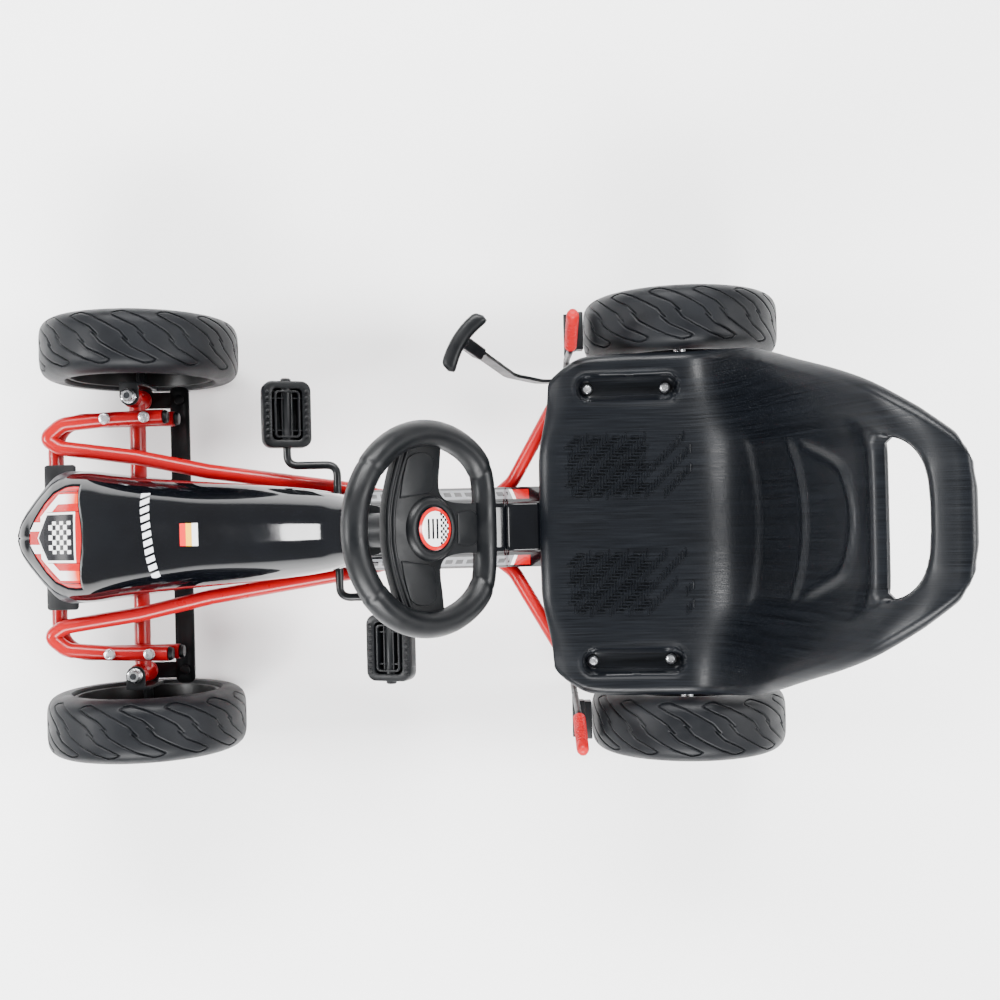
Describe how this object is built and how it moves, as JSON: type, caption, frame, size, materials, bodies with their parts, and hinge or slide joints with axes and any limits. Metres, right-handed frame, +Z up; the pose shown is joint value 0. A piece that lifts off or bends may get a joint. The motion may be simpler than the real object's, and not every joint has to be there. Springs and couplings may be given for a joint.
{
  "type": "pedal go kart",
  "caption": "Child's pedal go kart with a tube frame, nose fairing, bucket seat, steered front wheels, chain drive, hand brake and shift lever.",
  "frame": {"origin": "on the floor under the middle of the kart's bounding box", "axes": "+X forward, +Y to the driver's left, +Z up"},
  "size_m": [1.0648, 0.589, 0.5812],
  "materials": {
    "red_paint": "satin gloss powder coat",
    "black_paint": "satin powder coat",
    "gloss_shell": "high gloss",
    "seat_plastic": "satin blow-moulded",
    "black_plastic": "fine grain",
    "rim_plastic": "fine grain",
    "red_grip": "soft sheen",
    "zinc_steel": "bright zinc",
    "chain_steel": "oiled",
    "tyre_foam": "matte moulded tread"
  },
  "bodies": {
    "chassis": {"main_beam": "red_paint", "front_bracket": "red_paint", "front_axle_beam": "red_paint", "bumper_tube": "red_paint", "upper_rail_left": "red_paint", "upper_rail_right": "red_paint", "rail_plug_left": "black_plastic", "rail_plug_right": "black_plastic", "bumper_plug_left": "black_plastic", "bumper_plug_right": "black_plastic", "bumper_clamp_left": "zinc_steel", "bumper_clamp_right": "zinc_steel", "nose_plate": "black_paint", "front_fairing": "gloss_shell", "column_tube": "black_paint", "column_bush": "black_plastic", "column_collar": "black_plastic", "beam_cover": "gloss_shell", "chain": "chain_steel", "rear_rail_left": "red_paint", "rear_rail_right": "red_paint", "rear_cross_tube": "red_paint", "axle_bracket_left": "red_paint", "axle_bracket_right": "red_paint", "axle_bush_left": "black_plastic", "axle_bush_right": "black_plastic", "seat": "seat_plastic", "seat_clamp_left": "zinc_steel", "seat_clamp_right": "zinc_steel", "kingpin_left": "zinc_steel", "kingpin_right": "zinc_steel"},
    "steering": {"steering_shaft": "zinc_steel", "steering_wheel": "black_plastic", "wheel_badge": "gloss_shell"},
    "tie_bar": {"tie_bar": "black_paint"},
    "knuckle_left": {"knuckle_left": "black_paint", "tie_pin_left": "black_paint"},
    "knuckle_right": {"knuckle_right": "black_paint", "tie_pin_right": "black_paint"},
    "front_wheel_left": {"tyre_front_left": "tyre_foam", "rim_front_left": "rim_plastic"},
    "front_wheel_right": {"tyre_front_right": "tyre_foam", "rim_front_right": "rim_plastic"},
    "crank": {"crank": "black_paint", "front_sprocket": "black_paint"},
    "pedal_left": {"pedal_left": "black_plastic"},
    "pedal_right": {"pedal_right": "black_plastic"},
    "rear_axle": {"rear_axle": "zinc_steel", "rear_sprocket": "zinc_steel", "tyre_rear_right": "tyre_foam", "rim_rear_right": "rim_plastic"},
    "rear_wheel_left": {"tyre_rear_left": "tyre_foam", "rim_rear_left": "rim_plastic"},
    "brake": {"brake_bar": "black_paint", "brake_grip_left": "red_grip", "brake_grip_right": "red_grip"},
    "shift_lever": {"shift_lever": "black_paint", "shift_handle": "black_plastic"}
  },
  "joints": [
    {"name": "steer", "type": "hinge", "parent": "chassis", "child": "steering", "pos_m": [-0.011, 0, 0.5], "axis": [-0.709, 0, 0.7053], "range_deg": [-35, 35]},
    {"name": "steer_left", "type": "hinge", "parent": "chassis", "child": "knuckle_left", "pos_m": [0.39, 0.179, 0.125], "axis": [0, 0, 1], "range_deg": [-27, 27]},
    {"name": "steer_right", "type": "hinge", "parent": "chassis", "child": "knuckle_right", "pos_m": [0.39, -0.179, 0.125], "axis": [0, 0, 1], "range_deg": [-27, 27]},
    {"name": "tie_swing", "type": "hinge", "parent": "knuckle_left", "child": "tie_bar", "pos_m": [0.34, 0.179, 0.1034], "axis": [0, 0, 1], "range_deg": [-27, 27]},
    {"name": "front_left_spin", "type": "hinge", "parent": "knuckle_left", "child": "front_wheel_left", "pos_m": [0.384, 0.2395, 0.125], "axis": [0, 1, 0], "continuous": true},
    {"name": "front_right_spin", "type": "hinge", "parent": "knuckle_right", "child": "front_wheel_right", "pos_m": [0.384, -0.2395, 0.125], "axis": [0, 1, 0], "continuous": true},
    {"name": "rear_axle_spin", "type": "hinge", "parent": "chassis", "child": "rear_axle", "pos_m": [-0.321, 0, 0.125], "axis": [0, 1, 0], "continuous": true},
    {"name": "rear_left_spin", "type": "hinge", "parent": "chassis", "child": "rear_wheel_left", "pos_m": [-0.321, 0.2525, 0.125], "axis": [0, 1, 0], "continuous": true},
    {"name": "crank_spin", "type": "hinge", "parent": "chassis", "child": "crank", "pos_m": [0.121, 0, 0.195], "axis": [0, 1, 0], "continuous": true},
    {"name": "pedal_left_spin", "type": "hinge", "parent": "crank", "child": "pedal_left", "pos_m": [0.059, 0.147, 0.195], "axis": [0, 1, 0], "continuous": true},
    {"name": "pedal_right_spin", "type": "hinge", "parent": "crank", "child": "pedal_right", "pos_m": [0.183, -0.147, 0.195], "axis": [0, 1, 0], "continuous": true},
    {"name": "brake_swing", "type": "hinge", "parent": "chassis", "child": "brake", "pos_m": [-0.172, 0, 0.125], "axis": [0, -1, 0], "range_deg": [0, 12], "stiffness_Nm_per_rad": 3, "springref_deg": -20.05},
    {"name": "shift_swing", "type": "hinge", "parent": "chassis", "child": "shift_lever", "pos_m": [-0.23, -0.18, 0.185], "axis": [0, 1, 0], "range_deg": [0, 15]}
  ],
  "couplings": [
    {"joint": "steer_left", "follows": "steer", "ratio": 0.76},
    {"joint": "steer_right", "follows": "steer", "ratio": 0.76},
    {"joint": "tie_swing", "follows": "steer", "ratio": -0.76},
    {"joint": "crank_spin", "follows": "rear_axle_spin", "ratio": 0.66667}
  ]
}
